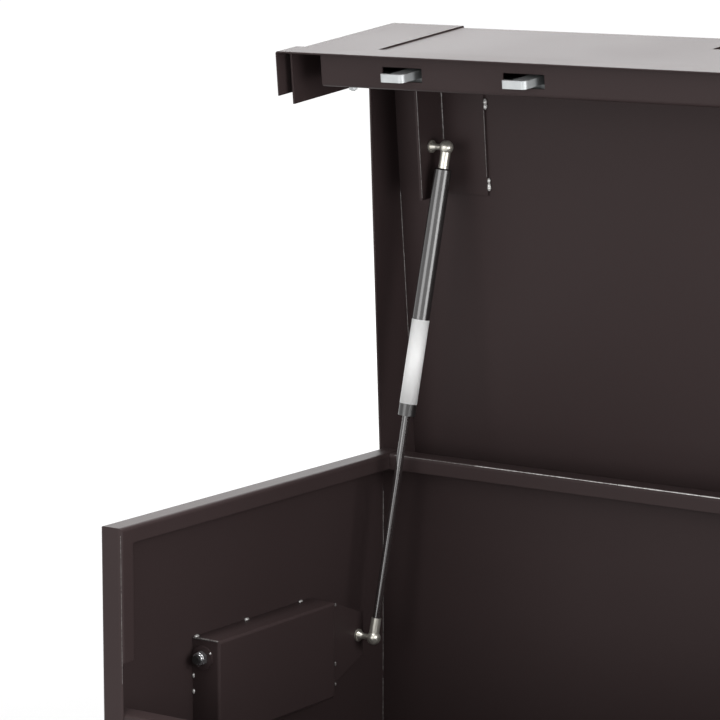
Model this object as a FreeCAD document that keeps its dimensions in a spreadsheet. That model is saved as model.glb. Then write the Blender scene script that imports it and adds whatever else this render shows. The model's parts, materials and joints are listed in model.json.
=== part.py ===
import FreeCAD, Part
import Sketcher
import math
import os

# Reinforced steel storage chest: folded sheet body, tray lid with a deep front flap,
# gas struts, drop handles in recess boxes and a sliding hook lock.
# Frame: origin at the centre of the base underside, +X to the right, +Y to the back, +Z up.
# The lid pieces are drawn closed and then swung open about the hinge line.

SIZES = {
    # Body of folded sheet
    "body_length": 920.0,
    "body_depth": 470.0,
    "body_height": 446.0,
    "sheet": 2.0,
    "bend_radius": 4.0,
    "rim_flange": 25.0,
    "rim_lip": 16.5,
    "front_lip_drop": 130.0,
    "front_lip": 18.0,
    "front_drop": 180.0,
    "front_panel_lip": 15.0,
    "floor_hole": 11.0,
    "floor_hole_side": 90.0,
    "floor_hole_end": 80.0,
    # Handle recesses and drop handles
    "box_length": 196.0,
    "box_height": 100.5,
    "box_depth": 33.0,
    "box_drop": 136.0,
    "box_rear_gap": 137.0,
    "box_round": 3.0,
    "handle_axis_inset": 13.5,
    "handle_axis_drop": 18.5,
    "handle_bar": 10.0,
    "handle_thread": 8.0,
    "handle_reach": 58.0,
    "handle_corner": 14.0,
    "handle_stub": 6.0,
    "handle_end_play": 0.5,
    "thread_clearance": 0.3,
    "washer_diameter": 24.0,
    "washer_thickness": 2.0,
    "nut_flats": 13.0,
    "nut_height": 8.0,
    "nut_play": 0.3,
    "thread_end": 2.5,
    # Lid, cheeks and flap
    "lid_front_gap": 6.1,
    "lid_rear_gap": 13.0,
    "lid_side_gap": 1.5,
    "lid_top_gap": 2.0,
    "open_angle": 84.16,
    "flap_height": 190.4,
    "cheek_front": 45.3,
    "cheek_rear": 66.7,
    "cheek_corner": 14.0,
    "cheek_relief": 3.0,
    "flap_cheek": 53.0,
    "flap_cheek_stop": 11.4,
    "frame_thickness": 1.5,
    "frame_inset": 3.5,
    "frame_upright": 90.0,
    "frame_bar": 35.5,
    "frame_over_lid": 30.0,
    "strip_overlap": 9.0,
    "strip_height": 33.0,
    "strip_overhang": 9.5,
    "strip_return": 43.3,
    "strip_bend": 2.5,
    # Hinges
    "hinge_drop": 54.7,
    "knuckle_diameter": 14.0,
    "pin_diameter": 8.0,
    "pin_fit": 0.05,
    "pin_play": 0.1,
    "knuckle_length": 18.0,
    "knuckle_middle": 23.0,
    "knuckle_gap": 0.5,
    "flange_clearance": 1.0,
    "leaf": 3.0,
    "lid_leaf_height": 34.0,
    "body_leaf_below": 38.0,
    "body_leaf_above": 5.0,
    "hinge_spacing": 330.0,
    # Lock
    "channel_depth": 34.8,
    "channel_height": 62.0,
    "channel_setback": 16.4,
    "channel_inset": 30.0,
    "hook_first": 126.5,
    "hook_pitch": 139.5,
    "hook_line": 20.0,
    "hook_thickness": 8.0,
    "hook_neck": 17.5,
    "hook_toe": 9.0,
    "hook_toe_height": 4.5,
    "hook_reach": 17.0,
    "hook_round": 5.0,
    "hook_offset": 3.0,
    "hook_slot_length": 46.2,
    "hook_slot_clearance": 1.7,
    "hook_slot_rise": 4.0,
    "catch_clearance": 4.0,
    "bar_thickness": 4.0,
    "bar_height": 30.0,
    "bar_drop": 130.0,
    "hook_lap": 7.5,
    "bar_end_inset": 48.0,
    "arm_width": 24.0,
    "guide_width": 24.0,
    "guide_wall": 5.7,
    "guide_front": 4.1,
    "guide_lift": 6.0,
    "guide_play": 0.3,
    "guide_outer": 51.0,
    "guide_inner": 200.0,
    "pocket_width": 104.0,
    "pocket_height": 56.0,
    "pocket_drop": 10.0,
    "pocket_depth": 20.0,
    "case_half_width": 70.0,
    "case_drop": 6.0,
    "spindle_diameter": 12.0,
    "spindle_play": 0.1,
    "crank_radius": 10.0,
    "crank_pin": 6.0,
    "crank_thickness": 4.0,
    "crank_gap": 0.5,
    "crank_round": 5.4,
    "pin_slot_play": 0.25,
    "half_turn": 30.0,
    "wing_length": 70.0,
    "wing_width": 14.0,
    "wing_thickness": 10.0,
    "wing_inset": 4.0,
    "wing_round": 5.6,
    "hub_diameter": 24.0,
    "plug_diameter": 9.0,
    "plug_play": 0.1,
    "plug_depth": 9.0,
    "keyway_length": 6.0,
    "keyway_width": 1.5,
    "keyway_depth": 4.5,
    # Gas struts
    "strut_low_inset": 40.0,
    "strut_low_forward": 75.3,
    "strut_low_drop": 185.2,
    "strut_high_inset": 77.4,
    "strut_high_setback": 120.2,
    "strut_high_drop": 29.0,
    "ball_diameter": 10.0,
    "ball_play": 0.1,
    "socket_diameter": 14.6,
    "socket_mouth": 9.4,
    "neck_diameter": 10.4,
    "neck_length": 21.0,
    "upper_neck_length": 22.0,
    "rod_diameter": 8.0,
    "rod_thread": 12.0,
    "tube_diameter": 18.0,
    "tube_wall": 1.2,
    "tube_length": 257.6,
    "tube_shoulder": 1.5,
    "cap_length": 13.6,
    "cap_spigot": 10.0,
    "rod_play": 0.05,
    "spigot_play": 0.05,
    "piston_length": 8.0,
    "piston_play": 0.1,
    "piston_inset": 30.0,
    "tube_head": 6.0,
    "stud_shank": 6.0,
    "stud_collar": 13.0,
    "stud_disc": 2.0,
    "stud_cone": 5.0,
    "stud_cone_share": 0.8,
    "mount_stand": 18.0,
    "mount_gap": 16.0,
    "mount_margin": 13.3,
    "mount_near": 44.0,
    "mount_far": 20.8,
    "bracket_inset": 55.0,
    "bracket_base": 54.5,
    "bracket_stand": 47.5,
    "bracket_thickness": 3.0,
    "bracket_front": 46.7,
    "bracket_length": 126.7,
    "bracket_bend": 5.0,
    "stud_gap": 0.6,
}

doc = FreeCAD.newDocument("storage_chest")
sheet = doc.addObject("Spreadsheet::Sheet", "Sizes")
for row, (name, value) in enumerate(SIZES.items(), start=1):
    sheet.set(f"A{row}", name)
    sheet.set(f"B{row}", str(value))
    sheet.setAlias(f"B{row}", name)
doc.recompute()


class Size:
    """A dimension that carries its value and the sheet expression that it comes from."""

    def __init__(self, value, text):
        self.value = value
        self.text = text

    def __add__(self, other):
        other = as_size(other)
        return Size(self.value + other.value, f"({self.text} + {other.text})")

    def __sub__(self, other):
        other = as_size(other)
        return Size(self.value - other.value, f"({self.text} - {other.text})")

    def __rsub__(self, other):
        return as_size(other) - self

    def __mul__(self, other):
        other = as_size(other)
        return Size(self.value * other.value, f"({self.text} * {other.text})")

    def __truediv__(self, other):
        other = as_size(other)
        return Size(self.value / other.value, f"({self.text} / {other.text})")

    def __neg__(self):
        return self * -1

    __radd__ = __add__
    __rmul__ = __mul__


def as_size(number):
    if isinstance(number, Size):
        return number
    return Size(float(number), f"({number})")


class Sheet:
    """The driving dimensions, one attribute for each cell of the sheet."""

    def __init__(self):
        for name in SIZES:
            setattr(self, name, Size(float(sheet.get(name)), f"Sizes.{name}"))


dim = Sheet()

LEFT, RIGHT = -1, 1
ZERO = as_size(0)
# Which way a plane's normal points along its own axis
NORMAL = {"XY_Plane": 1, "XZ_Plane": -1, "YZ_Plane": 1}
# Which coordinates a sketch on that plane shows
SHOWN = {"XY_Plane": ("x", "y"), "XZ_Plane": ("x", "z"), "YZ_Plane": ("y", "z")}

# Places that several pieces share
half_length = dim.body_length / 2
front = -dim.body_depth / 2
back = dim.body_depth / 2
rim = dim.body_height
lid_top = rim + dim.lid_top_gap + dim.sheet
lid_under = rim + dim.lid_top_gap
flap_out = front - dim.lid_front_gap - dim.sheet
flap_in = front - dim.lid_front_gap
flap_foot = lid_top - dim.flap_height
rear_in = back + dim.lid_rear_gap
rear_out = rear_in + dim.sheet
lid_half = half_length + dim.lid_side_gap + dim.sheet
hinge_y = rear_in + dim.sheet / 2
hinge_z = lid_top - dim.hinge_drop
box_top = rim - dim.box_drop
box_rear = back - dim.box_rear_gap
box_near = box_rear - dim.box_length
box_middle = box_rear - dim.box_length / 2
handle_z = box_top - dim.handle_axis_drop
channel_back = flap_out + dim.channel_depth
channel_foot = flap_foot + dim.channel_setback
channel_top = channel_foot + dim.channel_height
hook_y = flap_out + dim.hook_line
bar_y = hook_y + dim.hook_thickness / 2
bar_top = lid_top - dim.bar_drop
crank_y = bar_y + dim.bar_thickness + dim.crank_gap
pocket_top = lid_top - dim.pocket_drop
pocket_foot = pocket_top - dim.pocket_height
spindle_z = (pocket_top + pocket_foot) / 2
lock_shift = dim.crank_radius * math.sin(math.radians(dim.half_turn.value))


def side_x(hand, inset):
    """X of a plane that lies inset from the body's end on that side."""
    return hand * (half_length - inset)


def side_start(hand, inset, width):
    """Lower X of a slab of that width whose outer face lies inset from the body's end."""
    return inset - half_length if hand == LEFT else half_length - inset - width


def slot_centres():
    """X of the four lock slots, two from each end."""
    places = []
    for inset in (dim.hook_first, dim.hook_first + dim.hook_pitch):
        places.append(inset - half_length)
        places.append(half_length - inset)
    return places


def bind(item, prop, size):
    item.setExpression(prop, as_size(size).text)


def new_body(label):
    body = doc.addObject("PartDesign::Body", label)
    body.Label = label
    return body


def add_loop(sketch, corners):
    """Closed outline of straight lines, each corner fixed by its two coordinates."""
    first = sketch.GeometryCount
    count = len(corners)
    points = [FreeCAD.Vector(as_size(u).value, as_size(v).value, 0) for u, v in corners]
    for k in range(count):
        sketch.addGeometry(Part.LineSegment(points[k], points[(k + 1) % count]))
    for k in range(count):
        after = first + (k + 1) % count
        sketch.addConstraint(Sketcher.Constraint("Coincident", first + k, 2, after, 1))
    for k, (u, v) in enumerate(corners):
        fix_point(sketch, first + k, 1, u, v)


def fix_point(sketch, geometry, end, u, v):
    for kind, size in (("DistanceX", as_size(u)), ("DistanceY", as_size(v))):
        place = Sketcher.Constraint(kind, -1, 1, geometry, end, size.value)
        index = sketch.addConstraint(place)
        bind(sketch, f"Constraints[{index}]", size)


def add_circle(sketch, u, v, diameter):
    centre = FreeCAD.Vector(as_size(u).value, as_size(v).value, 0)
    circle = Part.Circle(centre, FreeCAD.Vector(0, 0, 1), diameter.value / 2)
    index = sketch.addGeometry(circle)
    fix_point(sketch, index, 3, u, v)
    width = sketch.addConstraint(Sketcher.Constraint("Diameter", index, diameter.value))
    bind(sketch, f"Constraints[{width}]", diameter)


def add_sketch(body, role, start, loops=(), circles=()):
    planes = [item for item in body.Origin.OriginFeatures if item.Role == role]
    sketch = body.newObject("Sketcher::SketchObject", "Sketch")
    sketch.AttachmentSupport = [(planes[0], "")]
    sketch.MapMode = "FlatFace"
    bind(sketch, "AttachmentOffset.Base.z", as_size(start) * NORMAL[role])
    for loop in loops:
        add_loop(sketch, loop)
    for circle in circles:
        add_circle(sketch, *circle)
    return sketch


def pad(body, role, start, length, loops=(), circles=()):
    """Material from start, over length, towards the plane's own plus axis."""
    sketch = add_sketch(body, role, start, loops, circles)
    feature = body.newObject("PartDesign::Pad", "Pad")
    feature.Profile = sketch
    bind(feature, "Length", length)
    feature.Reversed = NORMAL[role] < 0
    doc.recompute()
    return feature


def cut(body, role, start, length, loops=(), circles=()):
    """Opening from start, over length, towards the plane's own plus axis."""
    before = body.Shape.Volume
    sketch = add_sketch(body, role, start, loops, circles)
    feature = body.newObject("PartDesign::Pocket", "Pocket")
    feature.Profile = sketch
    bind(feature, "Length", length)
    feature.Reversed = NORMAL[role] > 0
    doc.recompute()
    if body.Shape.Volume >= before:
        raise RuntimeError(f"{body.Label}: an opening cut nothing")
    return feature


def round_edges(body, radius, wanted):
    """Fillet on the edges of the body so far that wanted picks."""
    doc.recompute()
    base = body.Tip
    names = [f"Edge{k}" for k, edge in enumerate(base.Shape.Edges, start=1) if wanted(edge)]
    feature = body.newObject("PartDesign::Fillet", "Fillet")
    feature.Base = (base, names)
    bind(feature, "Radius", radius)
    doc.recompute()
    return feature


def along(role, corner):
    """Picks edges that run square to the plane through one corner of an outline."""
    first, second = SHOWN[role]
    u, v = (as_size(size).value for size in corner)

    def wanted(edge):
        ends = [vertex.Point for vertex in edge.Vertexes]
        if len(ends) != 2:
            return False
        off = max(abs(getattr(p, first) - u) + abs(getattr(p, second) - v) for p in ends)
        return off < 1e-4

    return wanted


def either(tests):
    """Picks edges that any of the tests picks."""
    return lambda edge: any(test(edge) for test in tests)


def folded(label, role, start, length, path, turn, thickness, outer_radius=None):
    """Sheet folded square along path: path gives outer corners, turn the material's side.
    With no outer radius the folds stay sharp, to be rounded together with later ones."""
    steps = []
    for (u0, v0), (u1, v1) in zip(path, path[1:]):
        du = as_size(u1).value - as_size(u0).value
        dv = as_size(v1).value - as_size(v0).value
        size = math.hypot(du, dv)
        steps.append((turn * round(dv / size), -turn * round(du / size)))
    inner = []
    for k, (u, v) in enumerate(path):
        sides = {steps[max(k - 1, 0)], steps[min(k, len(steps) - 1)]}
        shift_u = sum(side[0] for side in sides)
        shift_v = sum(side[1] for side in sides)
        inner.append((u + thickness * shift_u, v + thickness * shift_v))
    body = new_body(label)
    pad(body, role, start, length, [list(path) + inner[::-1]])
    if outer_radius is not None:
        for corner, fold in zip(path[1:-1], inner[1:-1]):
            round_edges(body, outer_radius, along(role, corner))
            round_edges(body, outer_radius - thickness, along(role, fold))
    return body


def rectangle(u0, u1, v0, v1):
    return [(u0, v0), (u1, v0), (u1, v1), (u0, v1)]


def block(label, x, y, z):
    """Box between pairs of planes."""
    item = doc.addObject("Part::Box", label)
    for side, low, (start, end) in (("Length", "x", x), ("Width", "y", y), ("Height", "z", z)):
        bind(item, side, as_size(end) - start)
        bind(item, f"Placement.Base.{low}", start)
    return item


TURNS = {"x": (FreeCAD.Vector(0, 1, 0), 90), "-x": (FreeCAD.Vector(0, 1, 0), -90),
         "y": (FreeCAD.Vector(1, 0, 0), -90), "-y": (FreeCAD.Vector(1, 0, 0), 90),
         "z": (FreeCAD.Vector(0, 0, 1), 0), "-z": (FreeCAD.Vector(1, 0, 0), 180)}


def rod(label, axis, diameter, length, x, y, z):
    """Round bar that starts at x, y, z and runs along the axis."""
    item = doc.addObject("Part::Cylinder", label)
    bind(item, "Radius", diameter / 2)
    bind(item, "Height", length)
    item.Placement = FreeCAD.Placement(FreeCAD.Vector(), FreeCAD.Rotation(*TURNS[axis]))
    for name, size in (("x", x), ("y", y), ("z", z)):
        bind(item, f"Placement.Base.{name}", size)
    return item


def taper(label, axis, near, far, length, x, y, z):
    """Cone frustum that starts at x, y, z with diameter near and runs along the axis to far."""
    item = doc.addObject("Part::Cone", label)
    bind(item, "Radius1", near / 2)
    bind(item, "Radius2", far / 2)
    bind(item, "Height", length)
    item.Placement = FreeCAD.Placement(FreeCAD.Vector(), FreeCAD.Rotation(*TURNS[axis]))
    for name, size in (("x", x), ("y", y), ("z", z)):
        bind(item, f"Placement.Base.{name}", size)
    return item


def ball(label, diameter, x, y, z):
    """Ball whose seam lies towards +Y, clear of the shanks and mouths along X."""
    item = doc.addObject("Part::Sphere", label)
    bind(item, "Radius", diameter / 2)
    item.Placement = FreeCAD.Placement(FreeCAD.Vector(), FreeCAD.Rotation(FreeCAD.Vector(0, 0, 1), 90))
    for name, size in (("x", x), ("y", y), ("z", z)):
        bind(item, f"Placement.Base.{name}", size)
    return item


def hexagon(label, axis, flats, height, x, y, z):
    """Hexagon nut blank that starts at x, y, z and runs along the axis."""
    item = doc.addObject("Part::Prism", label)
    item.Polygon = 6
    bind(item, "Circumradius", flats / math.sqrt(3))
    bind(item, "Height", height)
    item.Placement = FreeCAD.Placement(FreeCAD.Vector(), FreeCAD.Rotation(*TURNS[axis]))
    for name, size in (("x", x), ("y", y), ("z", z)):
        bind(item, f"Placement.Base.{name}", size)
    return item


def fuse(label, pieces):
    item = doc.addObject("Part::MultiFuse", label)
    item.Shapes = pieces
    item.Label = label
    item.Refine = True
    return item


def subtract(label, base, tool):
    item = doc.addObject("Part::Cut", label)
    item.Base = base
    item.Tool = tool
    item.Label = label
    return item


def group(label, pieces):
    """Several separate solids that share one node."""
    item = doc.addObject("Part::Compound", label)
    item.Links = pieces
    item.Label = label
    return item


nodes = {}


def keep(item, placement=None):
    if placement is not None:
        item.Placement = placement
    nodes[item.Label] = item
    return item


def hand_name(hand):
    return "left" if hand == LEFT else "right"


# Body panels
def floor_panel():
    body = new_body("floor_panel")
    reach = half_length - dim.sheet
    edge = rectangle(-reach, reach, front + dim.sheet * 2, back - dim.sheet)
    holes = []
    for hand in (LEFT, RIGHT):
        for place in (front + dim.floor_hole_end, back - dim.floor_hole_end):
            holes.append((side_x(hand, dim.floor_hole_side), place, dim.floor_hole))
    pad(body, "XY_Plane", ZERO, dim.sheet, [edge], holes)
    return keep(body)


def side_panel(hand):
    lip_x = side_x(hand, dim.rim_flange)
    wall_x = side_x(hand, ZERO)
    path = [(lip_x, rim - dim.rim_lip), (lip_x, rim), (wall_x, rim), (wall_x, ZERO)]
    depth = dim.body_depth - dim.sheet
    body = folded(f"{hand_name(hand)}_side_panel", "XZ_Plane", front, depth, path, hand, dim.sheet)
    flange = rectangle(side_x(hand, dim.sheet), lip_x, ZERO, rim - dim.sheet)
    pad(body, "XZ_Plane", front, dim.sheet, [flange])
    lip_start = side_start(hand, dim.rim_flange - dim.sheet, dim.sheet)
    lip_front, lip_back = front + dim.sheet, front + dim.front_lip
    pad(body, "YZ_Plane", lip_start, dim.sheet, [rectangle(lip_front, lip_back, ZERO, rim - dim.sheet)])
    rims = [along("XZ_Plane", corner) for corner in path[1:-1]]
    uprights = [along("XY_Plane", (x, front)) for x in (lip_x, wall_x)]
    round_edges(body, dim.bend_radius, either(rims + uprights))
    below = rectangle(lip_front, lip_back, ZERO, rim - dim.front_lip_drop)
    cut(body, "YZ_Plane", lip_start, dim.sheet, [below])
    window = rectangle(box_near + dim.sheet, box_rear - dim.sheet,
                       box_top - dim.box_height + dim.sheet, box_top - dim.sheet)
    cut(body, "YZ_Plane", side_start(hand, ZERO, dim.sheet), dim.sheet, [window])
    return keep(body)


def front_panel():
    face = front + dim.sheet
    top = rim - dim.front_drop
    edge = face + dim.rim_flange
    path = [(face, ZERO), (face, top), (edge, top), (edge, top - dim.front_panel_lip)]
    reach = half_length - dim.sheet
    body = folded("front_panel", "YZ_Plane", -reach, reach * 2, path, 1, dim.sheet, dim.bend_radius)
    slots = []
    half_width = dim.hook_thickness / 2 + dim.hook_slot_clearance
    for centre in slot_centres():
        right = centre + dim.hook_offset + dim.hook_neck / 2
        left = right - dim.hook_neck - dim.hook_toe
        slots.append(rectangle(left - dim.catch_clearance, right + dim.catch_clearance,
                               hook_y - half_width, hook_y + half_width))
    cut(body, "XY_Plane", top - dim.sheet, dim.sheet, slots)
    return keep(body)


def back_panel():
    edge = back - dim.rim_flange
    path = [(edge, rim - dim.rim_lip), (edge, rim), (back, rim), (back, ZERO)]
    reach = half_length - dim.rim_flange
    body = folded("back_panel", "YZ_Plane", -reach, reach * 2, path, 1, dim.sheet, dim.bend_radius)
    tabs = []
    for hand in (LEFT, RIGHT):
        tabs.append(rectangle(hand * reach, hand * half_length, ZERO, rim))
    pad(body, "XZ_Plane", back - dim.sheet, dim.sheet, tabs)
    return keep(body)


# Handle recess boxes and drop handles
def handle_box(hand):
    body = new_body(f"{hand_name(hand)}_handle_box")
    foot = box_top - dim.box_height
    start = side_start(hand, dim.sheet, dim.box_depth)
    pad(body, "YZ_Plane", start, dim.box_depth, [rectangle(box_near, box_rear, foot, box_top)])
    face_x = side_x(hand, dim.sheet + dim.box_depth).value

    def on_face(edge):
        return all(abs(vertex.X - face_x) < 1e-4 for vertex in edge.Vertexes)

    round_edges(body, dim.box_round, on_face)
    inner = rectangle(box_near + dim.sheet, box_rear - dim.sheet, foot + dim.sheet, box_top - dim.sheet)
    hollow = dim.box_depth - dim.sheet
    cut(body, "YZ_Plane", side_start(hand, dim.sheet, hollow), hollow, [inner])
    axis_x = side_x(hand, dim.sheet + dim.handle_axis_inset)
    hole = (axis_x, handle_z, dim.handle_thread + dim.thread_clearance * 2)
    cut(body, "XZ_Plane", box_near, dim.box_length, [], [hole])
    return keep(body)


def drop_handle(hand):
    name = f"{hand_name(hand)}_handle"
    x = side_x(hand, dim.sheet + dim.handle_axis_inset)
    shoulder = dim.box_length / 2 - dim.sheet - dim.handle_end_play
    leg_y = shoulder - dim.handle_stub - dim.handle_corner
    low = handle_z - dim.handle_reach
    thread_length = (dim.sheet + dim.handle_end_play + dim.washer_thickness + dim.nut_play
                     + dim.nut_height + dim.thread_end)
    leg = dim.handle_reach - dim.handle_corner * 2
    pieces = [rod(f"{name}_grip", "y", dim.handle_bar, (leg_y - dim.handle_corner) * 2,
                  x, box_middle + dim.handle_corner - leg_y, low)]
    for end, axis in ((-1, "-y"), (1, "y")):
        leg_line = box_middle + leg_y * end
        stub_y = box_middle + (leg_y + dim.handle_corner) * end
        grip_end = box_middle + (leg_y - dim.handle_corner) * end
        pieces.append(rod(f"{name}_thread", axis, dim.handle_thread, thread_length,
                          x, box_middle + shoulder * end, handle_z))
        pieces.append(rod(f"{name}_stub", axis, dim.handle_bar, dim.handle_stub, x, stub_y, handle_z))
        pieces.append(rod(f"{name}_leg", "z", dim.handle_bar, leg, x, leg_line, low + dim.handle_corner))
        upper = stub_y, handle_z - dim.handle_corner
        lower = grip_end, low + dim.handle_corner
        bends = (("shoulder", upper, 0 if end < 0 else 90), ("corner", lower, 180 if end < 0 else 270))
        for bend, (y, z), first in bends:
            label = f"{name}_{bend}"
            pieces.append(quarter_bend(label, dim.handle_corner, dim.handle_bar, x, y, z, first))
    return keep(fuse(name, pieces))


def quarter_bend(label, radius, diameter, x, y, z, first):
    """Quarter of a ring in a plane of constant X; first is the angle from +Y towards +Z."""
    item = doc.addObject("Part::Torus", label)
    bind(item, "Radius1", radius)
    bind(item, "Radius2", diameter / 2)
    item.Angle3 = 90
    turn = FreeCAD.Rotation(FreeCAD.Vector(1, 0, 0), first)
    across, up, ahead = (FreeCAD.Vector(*axis) for axis in ((0, 1, 0), (0, 0, 1), (1, 0, 0)))
    upright = FreeCAD.Rotation(across, up, ahead, "XYZ")
    item.Placement = FreeCAD.Placement(FreeCAD.Vector(), turn.multiply(upright))
    for name, size in (("x", x), ("y", y), ("z", z)):
        bind(item, f"Placement.Base.{name}", size)
    return item


def handle_fasteners(hand):
    name = hand_name(hand)
    x = side_x(hand, dim.sheet + dim.handle_axis_inset)
    bore = dim.handle_thread + dim.thread_clearance * 2
    washers = []
    nuts = []
    for end, axis in ((-1, "-y"), (1, "y")):
        seat = dim.box_length / 2
        place = x, box_middle + seat * end, handle_z
        disc = rod(f"{name}_washer_disc", axis, dim.washer_diameter, dim.washer_thickness, *place)
        hole = rod(f"{name}_washer_hole", axis, bore, dim.washer_thickness, *place)
        washers.append(subtract(f"{name}_washer", disc, hole))
        seat = seat + dim.washer_thickness + dim.nut_play
        place = x, box_middle + seat * end, handle_z
        blank = hexagon(f"{name}_nut_blank", axis, dim.nut_flats, dim.nut_height, *place)
        bore_rod = rod(f"{name}_nut_bore", axis, dim.handle_thread, dim.nut_height, *place)
        nuts.append(subtract(f"{name}_nut", blank, bore_rod))
    keep(group(f"{name}_handle_washers", washers))
    keep(group(f"{name}_handle_nuts", nuts))


# Lid pieces, drawn closed
def swing(angle):
    axis = FreeCAD.Rotation(FreeCAD.Vector(1, 0, 0), angle)
    centre = FreeCAD.Vector(0, hinge_y.value, hinge_z.value)
    return FreeCAD.Placement(FreeCAD.Vector(), axis, centre)


lid_open = swing(-dim.open_angle.value)


def lid_panel():
    lip_foot = hinge_z + dim.knuckle_diameter / 2 + dim.flange_clearance
    flap_edge = flap_foot + dim.strip_overlap
    path = [(rear_out, lip_foot), (rear_out, lid_top), (flap_out, lid_top), (flap_out, flap_edge)]
    body = folded("lid_panel", "YZ_Plane", -lid_half, lid_half * 2, path, -1, dim.sheet, dim.bend_radius)
    half = dim.pocket_width / 2
    cut(body, "XZ_Plane", flap_out, dim.sheet, [rectangle(-half, half, pocket_foot, pocket_top)])
    return keep(body, lid_open)


def lid_cheek(hand):
    body = new_body(f"{hand_name(hand)}_lid_cheek")
    relief = dim.cheek_relief
    inner = flap_out + dim.flap_cheek
    rear_foot = lid_top - dim.cheek_rear
    outline = [
        (flap_in + relief, lid_under), (rear_in - relief, lid_under), (rear_in, lid_under - relief),
        (rear_in, rear_foot + dim.cheek_corner), (rear_in - dim.cheek_corner, rear_foot),
        (inner, lid_top - dim.cheek_front), (inner, flap_foot + dim.flap_cheek_stop),
        (flap_in, flap_foot + dim.flap_cheek_stop), (flap_in, lid_under - relief),
    ]
    start = side_start(hand, -dim.lid_side_gap - dim.sheet, dim.sheet)
    pad(body, "YZ_Plane", start, dim.sheet, [outline])
    return keep(body, lid_open)


def flap_frame():
    """Raised frame on the flap: uprights that run over the lid's fold, a lower bar and a strip whose
    ends are folded back round the flap's ends."""
    body = new_body("flap_frame")
    outer = lid_half - dim.frame_inset
    inner = lid_half - dim.frame_upright
    strip = lid_half + dim.strip_overhang
    strip_top = flap_foot + dim.strip_height
    bar_edge = flap_foot + dim.frame_bar
    top = lid_top - dim.bend_radius
    outline = [
        (-outer, top), (-outer, strip_top), (-strip, strip_top), (-strip, flap_foot),
        (strip, flap_foot), (strip, strip_top), (outer, strip_top), (outer, top),
        (inner, top), (inner, bar_edge), (-inner, bar_edge), (-inner, top),
    ]
    thickness = dim.frame_thickness
    face = flap_out - thickness
    pad(body, "XZ_Plane", face, thickness, [outline])
    wrap = rectangle(flap_out, flap_out + dim.strip_return, flap_foot, strip_top)
    pad(body, "YZ_Plane", -strip, thickness, [wrap])
    pad(body, "YZ_Plane", strip - thickness, thickness, [wrap])
    for end, fold in ((-strip, thickness - strip), (strip, strip - thickness)):
        round_edges(body, dim.strip_bend - thickness, along("XY_Plane", (fold, flap_out)))
        round_edges(body, dim.strip_bend, along("XY_Plane", (end, face)))
    reach = flap_out + dim.frame_over_lid
    over = [(face, top), (face, lid_top + thickness), (reach, lid_top + thickness),
            (reach, lid_top), (flap_out, lid_top), (flap_out, top)]
    for start in (-outer, inner):
        pad(body, "YZ_Plane", start, outer - inner, [over])
    round_edges(body, dim.bend_radius, along("YZ_Plane", (flap_out, lid_top)))
    round_edges(body, thickness, along("YZ_Plane", (face, lid_top + thickness)))
    return keep(body, lid_open)


# Hinges
def hinge_places():
    return (-dim.hinge_spacing, ZERO, dim.hinge_spacing)


def hinges():
    radius = dim.knuckle_diameter / 2
    outer = dim.knuckle_middle / 2 + dim.knuckle_gap
    body_leaves = []
    lid_leaves = []
    pins = []
    bore_fixed = dim.pin_diameter + dim.pin_fit * 2
    bore_free = dim.pin_diameter + dim.pin_play * 2
    for place in hinge_places():
        ends = (place - outer - dim.knuckle_length, place + outer)
        width = (outer + dim.knuckle_length) * 2
        pieces = [block("body_leaf_plate", (ends[0], ends[0] + width), (back, back + dim.leaf),
                        (hinge_z - dim.body_leaf_below, hinge_z + dim.body_leaf_above))]
        for start in ends:
            pieces.append(rod("body_knuckle", "x", dim.knuckle_diameter, dim.knuckle_length,
                              start, hinge_y, hinge_z))
            pieces.append(block("body_web", (start, start + dim.knuckle_length), (back, hinge_y),
                                (hinge_z - radius, hinge_z)))
        bore = rod("body_bore", "x", bore_fixed, width, ends[0], hinge_y, hinge_z)
        body_leaves.append(subtract("body_leaf", fuse("body_leaf_blank", pieces), bore))
        start = place - dim.knuckle_middle / 2
        knuckle = rod("lid_knuckle", "x", dim.knuckle_diameter, dim.knuckle_middle, start, hinge_y, hinge_z)
        plate = block("lid_leaf_plate", (start, start + dim.knuckle_middle), (rear_in - dim.leaf, rear_in),
                      (hinge_z, hinge_z + dim.lid_leaf_height))
        bore = rod("lid_bore", "x", bore_free, dim.knuckle_middle, start, hinge_y, hinge_z)
        lid_leaves.append(subtract("lid_leaf", fuse("lid_leaf_blank", [knuckle, plate]), bore))
        pins.append(rod("hinge_pin", "x", dim.pin_diameter, width, ends[0], hinge_y, hinge_z))
    keep(group("hinge_body_leaves", body_leaves))
    keep(group("hinge_lid_leaves", lid_leaves), lid_open)
    keep(group("hinge_pins", pins))


# Lock
def lock_channel():
    path = [(flap_in, channel_top), (channel_back, channel_top),
            (channel_back, channel_foot), (flap_in, channel_foot)]
    reach = half_length - dim.channel_inset
    body = folded("lock_channel", "YZ_Plane", -reach, reach * 2, path, 1, dim.sheet, dim.bend_radius)
    far = hook_y - dim.hook_thickness / 2 - dim.hook_slot_rise
    near = hook_y + dim.hook_thickness / 2 + dim.hook_slot_clearance
    half = dim.hook_slot_length / 2
    slots = [rectangle(centre - half, centre + half, far, near) for centre in slot_centres()]
    cut(body, "XY_Plane", channel_foot, dim.sheet, slots)
    sweep = dim.arm_width / 2 + lock_shift + dim.catch_clearance
    door = rectangle(-sweep, sweep, bar_y - dim.guide_play, bar_y + dim.bar_thickness + dim.guide_play)
    cut(body, "XY_Plane", channel_top - dim.sheet, dim.sheet, [door])
    return keep(body, lid_open)


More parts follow.
